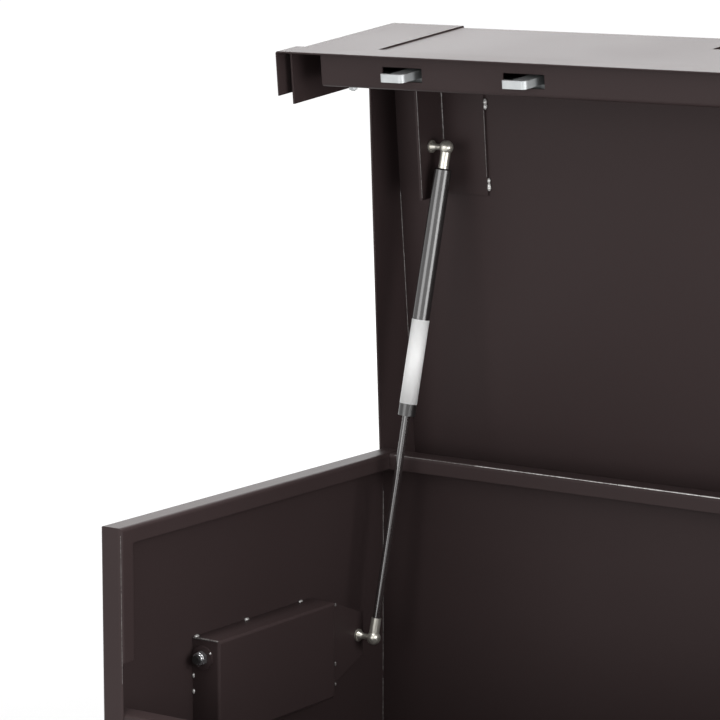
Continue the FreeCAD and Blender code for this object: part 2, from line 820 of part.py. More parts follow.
def lock_case():
    half = dim.case_half_width
    path = [(-half, flap_in), (-half, channel_back), (half, channel_back), (half, flap_in)]
    top = lid_top - dim.case_drop
    body = folded("lock_case", "XY_Plane", channel_top, top - channel_top, path, 1,
                  dim.sheet, dim.bend_radius)
    roof = rectangle(dim.bend_radius - half, half - dim.bend_radius, flap_in, channel_back - dim.sheet)
    pad(body, "XY_Plane", top - dim.sheet, dim.sheet, [roof])
    return keep(body, lid_open)


def lock_pocket():
    body = new_body("lock_pocket")
    half = dim.pocket_width / 2
    deep = dim.pocket_depth + dim.sheet
    pad(body, "XZ_Plane", flap_out, deep, [rectangle(-half, half, pocket_foot, pocket_top)])
    inner = rectangle(dim.sheet - half, half - dim.sheet, pocket_foot + dim.sheet, pocket_top - dim.sheet)
    cut(body, "XZ_Plane", flap_out, dim.pocket_depth, [inner])
    bore = dim.spindle_diameter + dim.spindle_play * 2
    cut(body, "XZ_Plane", flap_out + dim.pocket_depth, dim.sheet, [], [(ZERO, spindle_z, bore)])
    return keep(body, lid_open)


def turned_lock():
    """Unlocked turn of the handle about its spindle, then the open lid."""
    axis = FreeCAD.Rotation(FreeCAD.Vector(0, 1, 0), -dim.half_turn.value)
    centre = FreeCAD.Vector(0, 0, spindle_z.value)
    return lid_open.multiply(FreeCAD.Placement(FreeCAD.Vector(), axis, centre))


def lock_handle():
    body = new_body("lock_handle")
    face = flap_out + dim.wing_inset
    half = dim.wing_length / 2
    rise = dim.wing_width / 2
    wing = rectangle(-half, half, spindle_z - rise, spindle_z + rise)
    pad(body, "XZ_Plane", face, dim.wing_thickness, [wing])
    for corner in wing:
        round_edges(body, dim.wing_round, along("XZ_Plane", corner))
    pad(body, "XZ_Plane", face, dim.wing_thickness, [], [(ZERO, spindle_z, dim.hub_diameter)])
    spindle_start = face + dim.wing_thickness
    spindle = ZERO, spindle_z, dim.spindle_diameter
    pad(body, "XZ_Plane", spindle_start, crank_y - spindle_start, [], [spindle])
    bore = dim.plug_diameter + dim.plug_play * 2
    cut(body, "XZ_Plane", face, dim.plug_depth + dim.plug_play, [], [(ZERO, spindle_z, bore)])
    return keep(body, turned_lock())


def lock_crank():
    body = new_body("lock_crank")
    pin_z = spindle_z - dim.crank_radius
    reach = dim.spindle_diameter / 2
    arm = rectangle(-reach, reach, pin_z - reach, spindle_z + reach)
    pad(body, "XZ_Plane", crank_y, dim.crank_thickness, [arm])
    for corner in arm:
        round_edges(body, dim.crank_round, along("XZ_Plane", corner))
    pin_start = bar_y + dim.crank_gap
    pad(body, "XZ_Plane", pin_start, crank_y - pin_start, [], [(ZERO, pin_z, dim.crank_pin)])
    return keep(body, turned_lock())


def key_plug():
    body = new_body("key_plug")
    face = flap_out + dim.wing_inset
    pad(body, "XZ_Plane", face, dim.plug_depth, [], [(ZERO, spindle_z, dim.plug_diameter)])
    reach = dim.keyway_length / 2
    half = dim.keyway_width / 2
    keyway = rectangle(-half, half, spindle_z - reach, spindle_z + reach)
    cut(body, "XZ_Plane", face, dim.keyway_depth, [keyway])
    return keep(body, turned_lock())


def lock_bar():
    body = new_body("lock_bar")
    reach = half_length - dim.bar_end_inset
    foot = bar_top - dim.bar_height
    arm_left = lock_shift - dim.arm_width / 2
    arm_right = lock_shift + dim.arm_width / 2
    arm_top = spindle_z - dim.spindle_diameter / 2 - dim.crank_gap
    notch = dim.crank_pin / 2 + dim.pin_slot_play
    notch_foot = spindle_z - dim.crank_radius - notch - dim.crank_gap
    outline = [
        (-reach, foot), (reach, foot), (reach, bar_top), (arm_right, bar_top), (arm_right, arm_top),
        (lock_shift + notch, arm_top), (lock_shift + notch, notch_foot), (lock_shift - notch, notch_foot),
        (lock_shift - notch, arm_top), (arm_left, arm_top), (arm_left, bar_top), (-reach, bar_top),
    ]
    pad(body, "XZ_Plane", bar_y, dim.bar_thickness, [outline])
    return keep(body, lid_open)


def lock_hooks():
    foot = channel_foot - dim.hook_reach
    start = hook_y - dim.hook_thickness / 2
    top = bar_top - dim.hook_lap
    hooks = []
    for number, centre in enumerate(slot_centres()):
        right = centre + dim.hook_offset + dim.hook_neck / 2
        left = right - dim.hook_neck
        toe = left - dim.hook_toe
        body = new_body(f"lock_hook_{number}")
        outline = [
            (left, top), (right, top), (right, foot), (toe, foot),
            (toe, foot + dim.hook_toe_height), (left, foot + dim.hook_toe_height),
        ]
        pad(body, "XZ_Plane", start, dim.hook_thickness, [outline])
        round_edges(body, dim.hook_round, along("XZ_Plane", outline[2]))
        round_edges(body, dim.hook_toe_height / 2, along("XZ_Plane", outline[3]))
        hooks.append(body)
    return keep(group("lock_hooks", hooks), lid_open)


def bar_guides():
    guides = []
    low = channel_foot + dim.guide_lift
    high = bar_top + dim.guide_wall
    face = bar_y - dim.guide_front
    for hand in (LEFT, RIGHT):
        for inset in (dim.guide_outer, dim.guide_inner):
            centre = side_x(hand, inset)
            x = centre - dim.guide_width / 2, centre + dim.guide_width / 2
            solid = block("guide_block", x, (face, channel_back - dim.sheet), (low, high))
            y = bar_y - dim.guide_play, bar_y + dim.bar_thickness + dim.guide_play
            z = bar_top - dim.bar_height - dim.guide_play, bar_top + dim.guide_play
            slot = block("guide_slot", x, y, z)
            guides.append(subtract("bar_guide", solid, slot))
    return keep(group("bar_guides", guides), lid_open)


# Gas struts, drawn upright from the lower ball and then laid along their line
def strut_points(hand):
    low = FreeCAD.Vector(side_x(hand, dim.strut_low_inset).value,
                         (back - dim.strut_low_forward).value, (rim - dim.strut_low_drop).value)
    closed = FreeCAD.Vector(side_x(hand, dim.strut_high_inset).value,
                            (flap_out + dim.strut_high_setback).value,
                            (lid_top - dim.strut_high_drop).value)
    return low, lid_open.multVec(closed)


def strut_placement(hand):
    """Local Z along the strut and local X towards the studs at the chest's end."""
    low, high = strut_points(hand)
    line = high.sub(low).normalize()
    mouth = FreeCAD.Vector(hand, 0, 0)
    turn = FreeCAD.Rotation(mouth, FreeCAD.Vector(), line, "ZXY")
    return FreeCAD.Placement(low, turn)


def turned(label, profile):
    """Solid of revolution about local Z; profile pairs are radius and height."""
    body = new_body(label)
    sketch = add_sketch(body, "XZ_Plane", ZERO, [profile])
    feature = body.newObject("PartDesign::Revolution", "Revolution")
    feature.Profile = sketch
    feature.ReferenceAxis = (sketch, ["V_Axis"])
    feature.Angle = 360
    doc.recompute()
    return body


def ball_socket(label, centre, neck_towards, neck_length, bored):
    """Round head with a neck, hollowed for its ball and open towards local X."""
    head = ball(f"{label}_head", dim.socket_diameter, ZERO, ZERO, centre)
    axis = "z" if neck_towards > 0 else "-z"
    neck = rod(f"{label}_neck", axis, dim.neck_diameter, neck_length, ZERO, ZERO, centre)
    cavity = ball(f"{label}_cavity", dim.ball_diameter + dim.ball_play * 2, ZERO, ZERO, centre)
    mouth = rod(f"{label}_mouth", "x", dim.socket_mouth, dim.socket_diameter, ZERO, ZERO, centre)
    hollow = [cavity, mouth]
    if bored:
        start = centre + (neck_length - dim.rod_thread) * neck_towards
        hollow.append(rod(f"{label}_thread", axis, bored, dim.rod_thread, ZERO, ZERO, start))
    return subtract(label, fuse(f"{label}_blank", [head, neck]), fuse(f"{label}_hollow", hollow))


def ball_stud(label, hand, centre, seat_x):
    """Ball, shank, cone and disc along X; the disc's flat face lies on seat_x."""
    x, y, z = (as_size(round(value, 6)) for value in centre)
    axis = "-x" if hand == LEFT else "x"
    reach = (seat_x - x) * hand
    ball_part = ball(f"{label}_ball", dim.ball_diameter, x, y, z)
    shank = rod(f"{label}_shank", axis, dim.stud_shank, reach, x, y, z)
    disc_x = seat_x - dim.stud_disc * hand
    disc = rod(f"{label}_disc", axis, dim.stud_collar, dim.stud_disc, disc_x, y, z)
    cone_x = disc_x - dim.stud_cone * hand
    wide = dim.stud_collar * dim.stud_cone_share
    cone = taper(f"{label}_cone", axis, dim.stud_shank, wide, dim.stud_cone, cone_x, y, z)
    return fuse(label, [ball_part, shank, disc, cone])


def gas_strut(hand):
    name = f"{hand_name(hand)}_strut"
    low, high = strut_points(hand)
    span = as_size(round(high.sub(low).Length, 6))
    placement = strut_placement(hand)
    tube_top = span - dim.upper_neck_length
    cap_foot = tube_top - dim.tube_length
    tube_foot = cap_foot + dim.cap_length
    radius = dim.tube_diameter / 2
    bore = radius - dim.tube_wall
    rod_radius = dim.rod_diameter / 2
    shoulder = dim.tube_shoulder
    tube_profile = [(bore, tube_foot), (radius, tube_foot), (radius, tube_top - shoulder),
                    (radius - shoulder, tube_top), (ZERO, tube_top),
                    (ZERO, tube_top - dim.tube_head), (bore, tube_top - dim.tube_head)]
    keep(turned(f"{name}_tube", tube_profile), placement)
    spigot = bore - dim.spigot_play
    hole = rod_radius + dim.rod_play
    cap_profile = [(hole, cap_foot), (radius, cap_foot), (radius, tube_foot), (spigot, tube_foot),
                   (spigot, tube_foot + dim.cap_spigot), (hole, tube_foot + dim.cap_spigot)]
    keep(turned(f"{name}_cap", cap_profile), placement)
    piston = bore - dim.piston_play
    rod_foot = dim.neck_length - dim.rod_thread
    piston_foot = tube_foot + dim.piston_inset
    piston_top = piston_foot + dim.piston_length
    rod_profile = [(ZERO, rod_foot), (rod_radius, rod_foot), (rod_radius, piston_foot),
                   (piston, piston_foot), (piston, piston_top), (ZERO, piston_top)]
    keep(turned(f"{name}_rod", rod_profile), placement)
    keep(ball_socket(f"{name}_lower_socket", ZERO, 1, dim.neck_length, dim.rod_diameter), placement)
    keep(ball_socket(f"{name}_upper_socket", span, -1, dim.upper_neck_length, None), placement)
    keep(ball_stud(f"{name}_lower_ball", hand, low, side_x(hand, dim.sheet + dim.mount_stand)))
    plate_x = side_x(hand, dim.bracket_inset + dim.bracket_thickness + dim.stud_gap)
    keep(ball_stud(f"{name}_upper_ball", hand, high, plate_x))


def strut_mount(hand):
    """Folded stand on the end wall for the lower ball stud, its top and foot cut to a slope."""
    wall_x = side_x(hand, dim.sheet)
    face_x = side_x(hand, dim.sheet + dim.mount_stand)
    stud_y, stud_z = back - dim.strut_low_forward, rim - dim.strut_low_drop
    near_y = box_rear + dim.mount_gap
    far_y = stud_y + dim.mount_margin
    path = [(wall_x, near_y), (face_x, near_y), (face_x, far_y), (wall_x, far_y)]
    foot = stud_z - dim.mount_near
    body = folded(f"{hand_name(hand)}_strut_mount", "XY_Plane", foot, dim.mount_near * 2, path, hand,
                  dim.bracket_thickness, dim.bracket_bend)
    slopes = []
    for end in (-1, 1):
        tall, short = stud_z + dim.mount_near * end, stud_z + dim.mount_far * end
        slopes.append([(near_y, tall), (far_y, tall), (far_y, short)])
    cut(body, "YZ_Plane", side_start(hand, dim.sheet, dim.mount_stand), dim.mount_stand, slopes)
    return keep(body)


def strut_bracket(hand):
    name = f"{hand_name(hand)}_strut_bracket"
    plate_x = side_x(hand, dim.bracket_inset)
    base_x = side_x(hand, dim.bracket_inset + dim.bracket_base)
    path = [(base_x, lid_under), (plate_x, lid_under), (plate_x, lid_under - dim.bracket_stand)]
    start = flap_out + dim.bracket_front
    body = folded(name, "XZ_Plane", start, dim.bracket_length, path, hand,
                  dim.bracket_thickness, dim.bracket_bend)
    keep(body, lid_open)
    axis = "x" if hand == RIGHT else "-x"
    y, z = flap_out + dim.strut_high_setback, lid_top - dim.strut_high_drop
    nut = hexagon(f"{hand_name(hand)}_bracket_nut", axis, dim.nut_flats, dim.nut_height, plate_x, y, z)
    keep(group(f"{hand_name(hand)}_bracket_nuts", [nut]), lid_open)


def build():
    floor_panel()
    front_panel()
    back_panel()
    lid_panel()
    flap_frame()
    hinges()
    lock_channel()
    lock_case()
    lock_pocket()
    lock_handle()
    lock_crank()
    key_plug()
    lock_bar()
    lock_hooks()
    bar_guides()
    for hand in (LEFT, RIGHT):
        side_panel(hand)
        handle_box(hand)
        drop_handle(hand)
        handle_fasteners(hand)
        lid_cheek(hand)
        strut_bracket(hand)
        strut_mount(hand)
        gas_strut(hand)
    doc.recompute()


def write():
    failed = [item.Label for item in doc.Objects if "Invalid" in item.State or "Error" in item.State]
    for label, item in nodes.items():
        if item.Shape.isNull() or not item.Shape.isValid() or not item.Shape.Solids:
            failed.append(label)
    if failed:
        raise RuntimeError("failed: " + ", ".join(failed))
    os.makedirs("parts", exist_ok=True)
    for label, item in nodes.items():
        item.Shape.exportStep(f"parts/{label}.step")
    print(len(nodes), "nodes written")


build()
write()
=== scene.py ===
import json
import math

import bmesh
import bpy
import numpy as np
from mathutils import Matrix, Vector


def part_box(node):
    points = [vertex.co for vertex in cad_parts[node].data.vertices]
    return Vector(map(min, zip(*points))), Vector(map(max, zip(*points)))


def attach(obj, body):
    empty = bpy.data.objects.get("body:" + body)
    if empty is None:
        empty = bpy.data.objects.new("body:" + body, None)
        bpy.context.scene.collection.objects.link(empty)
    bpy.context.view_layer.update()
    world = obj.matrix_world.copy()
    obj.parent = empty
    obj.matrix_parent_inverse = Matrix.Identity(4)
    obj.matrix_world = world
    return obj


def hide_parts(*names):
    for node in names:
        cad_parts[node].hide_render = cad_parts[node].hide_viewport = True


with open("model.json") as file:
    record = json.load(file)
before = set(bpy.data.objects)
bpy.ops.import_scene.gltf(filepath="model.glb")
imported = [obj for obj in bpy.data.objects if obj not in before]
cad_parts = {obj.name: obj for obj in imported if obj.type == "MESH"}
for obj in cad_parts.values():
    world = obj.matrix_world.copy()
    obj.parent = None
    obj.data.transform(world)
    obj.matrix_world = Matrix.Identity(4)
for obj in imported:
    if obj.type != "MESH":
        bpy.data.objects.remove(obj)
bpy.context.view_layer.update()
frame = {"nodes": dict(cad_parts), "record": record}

# All lengths are in metres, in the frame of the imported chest: +X right, +Y to the hinges, +Z up.
MM = 0.001
TURN = 2.0 * math.pi
SIDES = (("left", -1.0), ("right", 1.0))

# Camera of the photograph
CAMERA_PLACE = (1.4132, -2.5068, 1.0891)
CAMERA_YAW = math.radians(34.7565)
CAMERA_PITCH = math.radians(9.398)
CAMERA_LENS_MM = 160.02
SENSOR_MM = 36.0

# Sheet metal as it is packed; the bracket's fold, edge and plate are measured from the end wall
SHEET = 2.0 * MM
RIM_FLANGE = 25.0 * MM
BEND_RADIUS = 4.0 * MM
BEND_INSET = BEND_RADIUS * (1.0 - math.sqrt(0.5))
LID_LIFT = 4.0 * MM
FLAP_GAP = 8.1 * MM
CHEEK_GAP = 1.5 * MM
CHANNEL_DEPTH = 34.8 * MM
BRACKET_SHEET = 3.0 * MM
BRACKET_FOLD = 58.8 * MM
BRACKET_EDGE = 109.5 * MM
PLATE_FACE = 58.0 * MM
PLATE_STAND = 47.5 * MM

# Label on the strut's tube
TUBE_RADIUS = 9.0 * MM
BALL_RADIUS = 5.0 * MM
LABEL_FROM_BALL = 179.0 * MM
LABEL_LENGTH = 88.0 * MM
LABEL_LIFT = 0.12 * MM
LABEL_SIDES = 64

# Lock nuts of the drop handles, and nuts and bolt ends of the lock bar's guides
M8_FLATS = 13.0 * MM
M8_THREAD = 4.0 * MM
M8_HEIGHT = 6.2 * MM
M8_COLLAR = 1.8 * MM
M5_FLATS = 8.0 * MM
M5_THREAD = 2.5 * MM
M5_HEIGHT = 7.0 * MM
BOLT_END = 8.2 * MM
BOLT_CHAMFER = 0.6 * MM
BOLT_SIDES = 32
BOLT_TIP = ((0.0, 0.0), (M5_THREAD, 0.0), (M5_THREAD, BOLT_END - BOLT_CHAMFER),
            (M5_THREAD - BOLT_CHAMFER, BOLT_END), (0.0, BOLT_END))
GUIDE_INSET = 47.0 * MM
GUIDE_DROP = 145.0 * MM

# Form of a nut: chamfer as a share of the flats, radii of half the flats, and the collar's and
# the hole's profile as shares of their own radius and of the collar's height
NUT_SIDES = 72
NUT_CHAMFER = 0.04
NUT_FACE = 0.98
NUT_CORNER = 1.155
COLLAR_RADIUS = 0.90
COLLAR_PROFILE = ((1.0, 0.05), (1.0, 0.6), (0.96, 0.9), (0.88, 1.0))
HOLE_LIP = (1.15, 0.8)
HOLE_TOP = 0.7
SIXTH = math.pi / 3.0

# Form of a bead: rows to a ripple, taper at the ends in radii, swell of a ripple, and the slow
# waves of its radius as size, radians to the metre and shift from bead to bead
BEAD_PITCH = 2.4 * MM
BEAD_SIDES = 12
RIPPLE_ROWS = 6
LEAST_ROWS = 12
BEAD_TAPER = 1.5
RIPPLE_SWELL = 0.16
BEAD_WAVES = ((0.12, 190.0, 2.1), (0.08, 83.0, 1.0))

# Points nearer than this are one pole, and a direction with this much of Z counts as upright
POLE_MERGE = 0.0001 * MM
UPRIGHT = 0.9

# Radii and places of the beads; the fold, edge, washer, rim and post beads are painted glints and
# highlights
CHEEK_BEAD = 0.4 * MM
FOLD_BEAD = 0.45 * MM
EDGE_BEAD = 0.22 * MM
CORNER_BEAD = 0.5 * MM
BLOB_RADIUS = 1.7 * MM
BLOB_SHIFT = 1.4 * MM
BLOB_DROP = 1.6 * MM
SEAM_LIFT = 1.2 * MM
BOX_BEAD = 1.6 * MM
WALL_BEAD = 1.1 * MM
REAR_BEAD = 0.8 * MM
END_BEAD = 0.8 * MM
# The washer's bead stands in for a painted glint on the rim of each handle washer.
WASHER_GLINT_RADIUS = 1.0 * MM
WASHER_GLINT_INSET = 23.4 * MM
RIM_FINE = 0.45 * MM
RIM_BROAD = 0.65 * MM
RIM_SINK = 0.2 * MM
POST_BEAD = 0.18 * MM


def joint(name):
    """The record's entry for one joint."""
    return next(item for item in frame["record"]["behaviour"]["joints"] if item["name"] == name)


hinge = joint("lid_hinge")
HINGE_LINE = np.array(hinge["pos_m"])
OPEN_ANGLE = math.radians(hinge["range_deg"][1])
SLEW = (math.cos(-OPEN_ANGLE), math.sin(-OPEN_ANGLE))

wall_low, wall_high = (np.array(corner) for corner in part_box("left_side_panel"))
RIM = wall_high[2]
END_X = -wall_low[0]
FRONT = wall_low[1]

# Places of the closed lid
LID_TOP = RIM + LID_LIFT
LID_UNDER = LID_TOP - SHEET
FLAP_FACE = FRONT - FLAP_GAP
CHANNEL_BACK = FLAP_FACE + CHANNEL_DEPTH


def opened(points):
    """Points of the closed lid turned about the hinge line to where the open lid has them."""
    points = np.asarray(points, float)
    cos, sin = SLEW
    off_y = points[..., 1] - HINGE_LINE[1]
    off_z = points[..., 2] - HINGE_LINE[2]
    turned_y = HINGE_LINE[1] + off_y * cos - off_z * sin
    turned_z = HINGE_LINE[2] + off_y * sin + off_z * cos
    return np.stack([points[..., 0], turned_y, turned_z], axis=-1)


class Wire:
    """A socket of a material that does sums: each operator adds one Math node."""

    def __init__(self, tree, socket=None):
        self.tree = tree
        self.socket = socket

    def node(self, kind, settings=None, sockets=None, output=0):
        """New node of that type: settings first, then numbers or wires into its sockets."""
        made = self.tree.nodes.new(kind)
        for name, value in (settings or {}).items():
            setattr(made, name, value)
        for name, value in (sockets or {}).items():
            if isinstance(value, Wire):
                self.tree.links.new(value.socket, made.inputs[name])
            else:
                made.inputs[name].default_value = value
        return Wire(self.tree, made.outputs[output] if len(made.outputs) else None)

    def math(self, operation, first, second):
        """Math node of that operation on two wires or numbers."""
        return self.node("ShaderNodeMath", {"operation": operation}, {0: first, 1: second})

    def __add__(self, other):
        return self.math("ADD", self, other)

    def __sub__(self, other):
        return self.math("SUBTRACT", self, other)

    def __rsub__(self, other):
        return self.math("SUBTRACT", other, self)

    def __mul__(self, other):
        return self.math("MULTIPLY", self, other)

    __radd__ = __add__
    __rmul__ = __mul__


# Colours of the finishes, heights of their bump, and the sockets of a Mix node between colours
COAT_DARK = (0.0370, 0.0252, 0.0252)
COAT_LIGHT = (0.0470, 0.0325, 0.0325)
# The next tone is a painted glint: the weld skin's light tone stands in for highlights on the
# glossy welds.
COAT_GLINT = (0.2600, 0.2500, 0.2400)
# The next two tones are painted glints: near-white colours that stand in for highlights on welds,
# edges and washers.
GLINT_DULL = (0.34, 0.33, 0.32)
GLINT_BRIGHT = (0.85, 0.84, 0.82)
FILM_DULL = (0.86, 0.86, 0.85)
FILM_WHITE = (0.93, 0.93, 0.93)
COAT_BUMP = 0.09 * MM
WELD_BUMP = 0.15 * MM
PLATE_BUMP = 0.02 * MM
LACQUER_BUMP = 0.01 * MM
FILM_BUMP = 0.02 * MM
COAT_EDGE = 0.9 * MM
EDGE_SAMPLES = 4
PLATE_FINE = 12.0
DUST_GAIN = 1.6
MIX_FACTOR, MIX_FIRST, MIX_SECOND, MIX_RESULT = 0, 6, 7, 2


def new_material(name):
    """Empty material and the wire that starts its node tree."""
    material = bpy.data.materials.new(name)
    material.use_nodes = True
    material.node_tree.nodes.clear()
    return material, Wire(material.node_tree)


def finish_material(start, settings, bump, height, edge=0.0):
    """Principled surface from its socket values; bump is a wire of 0 to 1 over height in metres, on
    top of edges that are rounded off over the edge radius."""
    sockets = {"Strength": 1.0, "Distance": height, "Height": bump}
    if edge > 0.0:
        samples = {"samples": EDGE_SAMPLES}
        sockets["Normal"] = start.node("ShaderNodeBevel", samples, {"Radius": edge})
    settings["Normal"] = start.node("ShaderNodeBump", {}, sockets)
    surface = start.node("ShaderNodeBsdfPrincipled", {}, settings)
    start.node("ShaderNodeOutputMaterial", {}, {"Surface": surface})


def noise(start, scale, detail=2.0, roughness=0.5):
    """Cloudy value of 0 to 1 on object coordinates, with that many cells to the metre."""
    place = start.node("ShaderNodeTexCoord", output="Object")
    sockets = {"Vector": place, "Scale": scale, "Detail": detail, "Roughness": roughness}
    return start.node("ShaderNodeTexNoise", {}, sockets)


def colour_mix(start, factor, first, second):
    """Colour between two by a wire of 0 to 1."""
    sockets = {MIX_FACTOR: factor, MIX_FIRST: (*first, 1.0), MIX_SECOND: (*second, 1.0)}
    return start.node("ShaderNodeMix", {"data_type": "RGBA"}, sockets, output=MIX_RESULT)


def powder_coat():
    """Brown-black powder coat: fine orange peel, faint clouds of tone and a satin sheen."""
    material, start = new_material("powder_coat")
    clouds = noise(start, scale=5.0, detail=3.0)
    grain = noise(start, scale=1400.0, detail=2.0)
    peel = noise(start, scale=420.0, detail=1.0)
    tone = clouds * 0.6 + grain * 0.4
    finish_material(start, {
        "Base Color": colour_mix(start, tone, COAT_DARK, COAT_LIGHT),
        "Roughness": 0.36 + 0.10 * clouds + 0.05 * grain,
        "Specular IOR Level": 0.12,
    }, grain * 0.4 + peel * 0.6, COAT_BUMP, COAT_EDGE)
    return material


def weld_skin(name, dull, bright, metal):
    """Skin of weld metal: a dull tone and a light one that is a painted glint, changing at each
    ripple, glossy where it is smooth.
    """
    material, start = new_material(name)
    clouds = noise(start, scale=300.0, detail=3.0)
    finish_material(start, {
        "Base Color": colour_mix(start, clouds, dull, bright),
        "Roughness": 0.18 + 0.20 * clouds,
        "Metallic": metal,
        "Specular IOR Level": 0.8,
    }, clouds, WELD_BUMP)
    return material


def plated(name, dull, bright, metal, low, spread, scale):
    """Plated metal: two tones of the same plate, a satin share that isn't mirror and a roughness
    that wanders from low over its spread."""
    material, start = new_material(name)
    clouds = noise(start, scale, detail=4.0, roughness=0.6)
    fine = noise(start, scale * PLATE_FINE, detail=2.0)
    finish_material(start, {
        "Base Color": colour_mix(start, clouds, dull, bright),
        "Roughness": low + spread * clouds,
        "Metallic": metal,
    }, fine, PLATE_BUMP)
    return material


def gloss_black(name, grey, low, spread, sheen):
    """Smooth black lacquer with a little dust in it."""
    material, start = new_material(name)
    clouds = noise(start, scale=120.0, detail=3.0)
    dusty = tuple(DUST_GAIN * part for part in grey)
    finish_material(start, {
        "Base Color": colour_mix(start, clouds, grey, dusty),
        "Roughness": low + spread * clouds,
        "Specular IOR Level": sheen,
    }, noise(start, scale=900.0), LACQUER_BUMP)
    return material


def label_film():
    """Plain white film with a faint unevenness and a soft gloss."""
    material, start = new_material("label_film")
    clouds = noise(start, scale=160.0, detail=3.0)
    finish_material(start, {
        "Base Color": colour_mix(start, clouds, FILM_DULL, FILM_WHITE),
        "Roughness": 0.34 + 0.12 * clouds,
    }, clouds, FILM_BUMP)
    return material


COAT = powder_coat()
# The weld skin mixes the coat with a light tone that is a painted glint.
WELD = weld_skin("weld_coat", COAT_DARK, COAT_GLINT, metal=0.0)
# This skin is painted glint: its near-white tones stand in for the highlights on welds, edges and
# washers.
WELD_GLINT = weld_skin("weld_glint", GLINT_DULL, GLINT_BRIGHT, metal=0.4)
NICKEL = plated("nickel", (0.50, 0.48, 0.42), (0.70, 0.68, 0.62),
                metal=0.75, low=0.26, spread=0.12, scale=180.0)
ZINC = plated("zinc", (0.42, 0.44, 0.45), (0.60, 0.62, 0.62),
              metal=0.40, low=0.36, spread=0.16, scale=90.0)
BRIGHT_NUT = plated("bright_nut", (0.34, 0.34, 0.35), (0.58, 0.58, 0.59),
                    metal=0.90, low=0.18, spread=0.10, scale=120.0)
DARK_PLATE = plated("dark_plate", (0.16, 0.15, 0.15), (0.34, 0.33, 0.32),
                    metal=0.90, low=0.24, spread=0.16, scale=160.0)
TUBE_BLACK = gloss_black("tube_black", (0.016, 0.014, 0.014), low=0.16, spread=0.06, sheen=1.0)
ROD_BLACK = gloss_black("rod_black", (0.026, 0.021, 0.021), low=0.05, spread=0.03, sheen=1.0)
CAP_BLACK = gloss_black("cap_black", (0.012, 0.011, 0.011), low=0.26, spread=0.08, sheen=0.8)
BAR_BLACK = gloss_black("bar_black", (0.012, 0.011, 0.011), low=0.34, spread=0.12, sheen=0.5)
LABEL = label_film()

SLOT_MATERIALS = {
    "powder_coat": COAT, "nickel": NICKEL, "zinc_plate": ZINC, "strut_black": TUBE_BLACK,
    "cap_plastic": CAP_BLACK, "handle_steel": BAR_BLACK, "fastener_steel": DARK_PLATE,
}


def dress_nodes():
    """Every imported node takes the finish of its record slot; the strut rods have their own."""
    for entry in frame["record"]["subparts"]:
        name = entry["node"]
        material = SLOT_MATERIALS[entry["material_slot"]]
        if name.endswith("_strut_rod"):
            material = ROD_BLACK
        item = frame["nodes"][name]
        item.data.materials.clear()
        item.data.materials.append(material)


def add_surface(name, grid, material, body, closed, smooth=True):
    """Mesh of a grid of points: rows by columns of quads, wrapped where closed says so, with the
    points of a pole merged into one. Columns turn about the rows' direction, faces point out."""
    rows, columns = grid.shape[:2]
    down = np.arange(rows if closed[0] else rows - 1)
    across = np.arange(columns if closed[1] else columns - 1)
    row, column = (part.ravel() for part in np.meshgrid(down, across, indexing="ij"))
    next_row = (row + 1) % rows
    next_column = (column + 1) % columns
    corners = [row * columns + column, row * columns + next_column,
               next_row * columns + next_column, next_row * columns + column]
    mesh = bpy.data.meshes.new(name)
    mesh.from_pydata(grid.reshape(-1, 3), [], np.stack(corners, axis=1))
    poles = bmesh.new()
    poles.from_mesh(mesh)
    bmesh.ops.remove_doubles(poles, verts=poles.verts, dist=POLE_MERGE)
    poles.to_mesh(mesh)
    poles.free()
    return add_piece(name, mesh, material, body, smooth)


def add_piece(name, mesh, material, body, smooth):
    """Object of a finished mesh that rides on a body and takes the finish it is given."""
    mesh.polygons.foreach_set("use_smooth", np.full(len(mesh.polygons), smooth))
    mesh.materials.append(material)
    piece = bpy.data.objects.new(name, mesh)
    bpy.context.scene.collection.objects.link(piece)
    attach(piece, body)
    return piece


def frame_of(direction):
    """The direction at unit length, with two unit vectors square to it and to each other."""
    direction = np.asarray(direction, float) / np.linalg.norm(direction)
    upright = abs(direction[2]) >= UPRIGHT
    helper = np.array([1.0, 0.0, 0.0]) if upright else np.array([0.0, 0.0, 1.0])
    side = np.cross(direction, helper)
    side /= np.linalg.norm(side)
    return direction, side, np.cross(direction, side)


def swept(centre, direction, along, radius, angles):
    """Points centre + along * direction + radius * (cos a, sin a) in the plane square to it."""
    direction, side, up = frame_of(direction)
    ring = np.cos(angles)[..., None] * side + np.sin(angles)[..., None] * up
    return centre + along[..., None] * direction + radius[..., None] * ring


def lathe(centre, direction, profile, sides):
    """Profile of (radius, height) pairs turned about the direction; rows follow the profile."""
    profile = np.asarray(profile, float)
    angles = np.linspace(0.0, TURN, sides, endpoint=False)
    radius, spin = np.meshgrid(profile[:, 0], angles, indexing="ij")
    height = np.broadcast_to(profile[:, 1:2], radius.shape)
    return swept(centre, direction, height, radius, spin)


def hex_nut(centre, direction, flats, height, hole, collar):
    """Hexagon of radius (flats / 2) / cos of the angle from the nearest flat, its corners cut by
    a cone at both ends, with a round collar on top that turns down into the hole."""
    angles = np.linspace(0.0, TURN, NUT_SIDES, endpoint=False)
    flat = flats / 2.0
    corner_cut = flats * NUT_CHAMFER
    hexagon = flat / np.cos((angles + SIXTH / 2.0) % SIXTH - SIXTH / 2.0)
    rows = [(hole, 0.0, False), (flat * NUT_FACE, 0.0, False),
            (flat * NUT_CORNER, corner_cut, True), (flat * NUT_CORNER, height - corner_cut, True),
            (flat * NUT_FACE, height, False)]
    if collar > 0.0:
        rim = flat * COLLAR_RADIUS
        rows += [(rim * share, height + collar * level, False) for share, level in COLLAR_PROFILE]
        rows.append((hole * HOLE_LIP[0], height + collar * HOLE_LIP[1], False))
    rows.append((hole, height + collar * HOLE_TOP, False))
    radius = np.array([np.minimum(hexagon, limit) if six else np.full_like(angles, limit)
                       for limit, _, six in rows])
    along = np.repeat(np.array([[level] for _, level, _ in rows]), len(angles), axis=1)
    return swept(centre, direction, along, radius, np.broadcast_to(angles, radius.shape))


